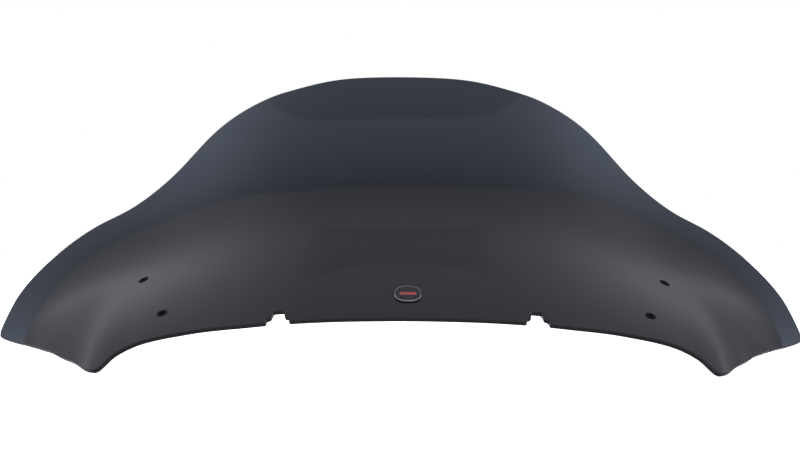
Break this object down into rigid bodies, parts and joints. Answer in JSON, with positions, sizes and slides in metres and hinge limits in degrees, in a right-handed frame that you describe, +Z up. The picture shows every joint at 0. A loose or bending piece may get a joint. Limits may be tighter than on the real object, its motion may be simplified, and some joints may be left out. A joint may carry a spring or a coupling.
{
  "type": "windshield screen",
  "caption": "Dark smoke fairing windshield screen with swept-back wings, a flared top, grommeted screw holes, stepped notches in the front edge and a small layered badge.",
  "frame": {"origin": "middle of the bounding box in X and Y, at the lowest level of the sheet", "axes": "+X to the right across the motorcycle (the long way), -Y towards the front of the motorcycle, +Z up, with the screen at its fitted angle"},
  "size_m": [0.86, 0.3244, 0.304],
  "materials": {
    "smoke_sheet": "polished dark smoke polycarbonate",
    "grommet_rubber": "matte black rubber",
    "sleeve_metal": "black zinc plated steel",
    "pad_foam": "black adhesive foam",
    "bezel_chrome": "bright chrome plate",
    "field_black": "gloss black enamel",
    "bar_red": "gloss red enamel",
    "dome_clear": "clear cast resin"
  },
  "bodies": {
    "root": {"screen": "smoke_sheet", "grommet_lower_left": "grommet_rubber", "grommet_upper_left": "grommet_rubber", "grommet_lower_right": "grommet_rubber", "grommet_upper_right": "grommet_rubber", "sleeve_lower_left": "sleeve_metal", "sleeve_upper_left": "sleeve_metal", "sleeve_lower_right": "sleeve_metal", "sleeve_upper_right": "sleeve_metal", "badge_pad": "pad_foam", "badge_bezel": "bezel_chrome", "badge_field": "field_black", "badge_bar": "bar_red", "badge_dome": "dome_clear"}
  },
  "joints": []
}
